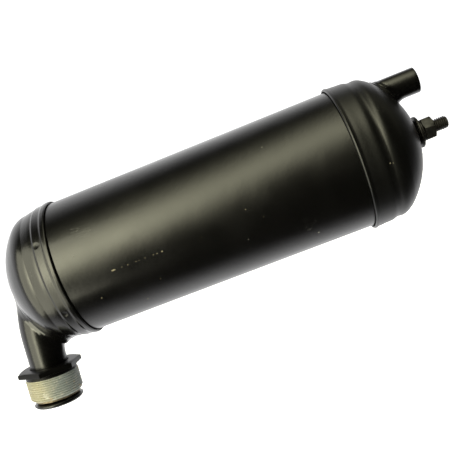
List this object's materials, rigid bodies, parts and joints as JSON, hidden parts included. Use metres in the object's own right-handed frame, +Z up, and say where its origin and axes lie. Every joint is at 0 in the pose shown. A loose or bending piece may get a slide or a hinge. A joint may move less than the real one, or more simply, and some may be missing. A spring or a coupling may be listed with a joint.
{
  "type": "hydraulic reservoir",
  "caption": "Cylindrical steel oil reservoir with pressed domed ends, a bent outlet pipe with a loose threaded union, a return stub and an end mounting stud.",
  "frame": {"origin": "on the shell's axis, in the middle of the mounting stud's free thread", "axes": "+X along the shell's axis, out of the mounting stud; +Z up, away from the outlet; the outlet leans 6.1 degrees from -Z towards -X"},
  "size_m": [0.314, 0.0926, 0.1286],
  "materials": {
    "black_paint": "satin black paint over pressed steel",
    "zinc_plate": "dull yellowish zinc plating",
    "dark_fastener": "overpainted steel fastener",
    "bare_steel": "plain mild steel",
    "braze_metal": "solidified brazing filler",
    "seal_rubber": "moulded nitrile rubber"
  },
  "bodies": {
    "tank": {"shell_tube": "black_paint", "outlet_end_cap": "black_paint", "stud_end_cap": "black_paint", "outlet_cap_braze_ring": "braze_metal", "stud_cap_braze_ring": "braze_metal", "outlet_pipe": "black_paint", "outlet_weld": "black_paint", "outlet_face_seal": "seal_rubber", "return_stub": "black_paint", "return_stub_weld": "black_paint", "stud_boss": "black_paint", "mounting_stud": "dark_fastener", "stud_backing_plate": "bare_steel", "suction_screen": "bare_steel", "return_baffle": "bare_steel", "return_diffuser": "bare_steel"},
    "thrust_ring": {"union_thrust_ring": "zinc_plate"},
    "union_nut": {"union_nut": "zinc_plate"},
    "washers": {"flat_washer": "dark_fastener", "spring_washer": "dark_fastener"},
    "stud_nut": {"stud_nut": "dark_fastener"}
  },
  "joints": [
    {"name": "union_slide", "type": "slide", "parent": "tank", "child": "thrust_ring", "axis": [0.1063, 0, 0.9943], "range_m": [0, 0.0055]},
    {"name": "union_spin", "type": "hinge", "parent": "thrust_ring", "child": "union_nut", "pos_m": [-0.2889, 0, -0.053], "axis": [-0.1063, 0, -0.9943], "continuous": true},
    {"name": "washers_slide", "type": "slide", "parent": "tank", "child": "washers", "axis": [1, 0, 0], "range_m": [0, 0.00625]},
    {"name": "stud_nut_unscrew", "type": "hinge", "parent": "washers", "child": "stud_nut", "pos_m": [0, 0, 0], "axis": [1, 0, 0], "range_deg": [0, 1800]}
  ],
  "couplings": [
    {"joint": "washers_slide", "follows": "stud_nut_unscrew", "m_per_rad": 0.00019894}
  ]
}
